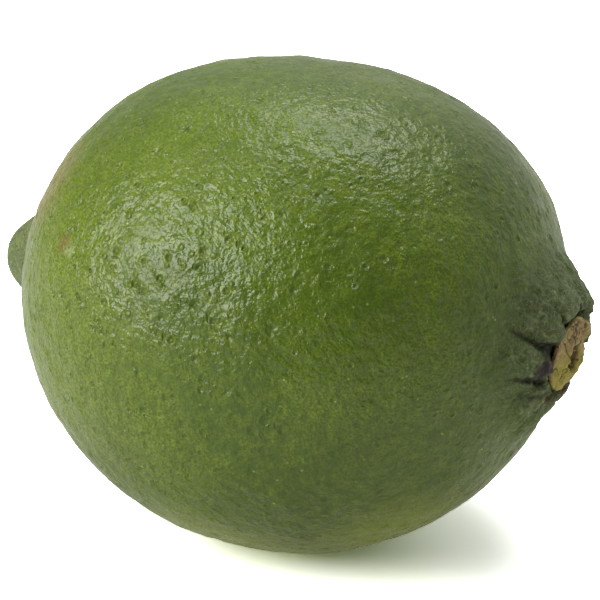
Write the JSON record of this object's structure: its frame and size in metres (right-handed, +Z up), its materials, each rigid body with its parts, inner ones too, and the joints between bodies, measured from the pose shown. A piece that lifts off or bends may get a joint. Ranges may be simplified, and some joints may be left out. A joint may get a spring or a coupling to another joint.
{
  "type": "lime",
  "caption": "Whole fresh green lime lying on its side: oval pitted rind, blunt nipple at one end, furrowed collar with a dry tan stem button at the other.",
  "frame": {"origin": "middle of the small flat spot that the fruit rests on", "axes": "+X along the fruit towards its stem end, +Z up from the ground to the crown"},
  "size_m": [0.0679, 0.054, 0.0534],
  "materials": {
    "rind": "satin",
    "dry_stem": "matte"
  },
  "bodies": {
    "root": {"fruit": "rind", "stem_button": "dry_stem"}
  },
  "joints": []
}
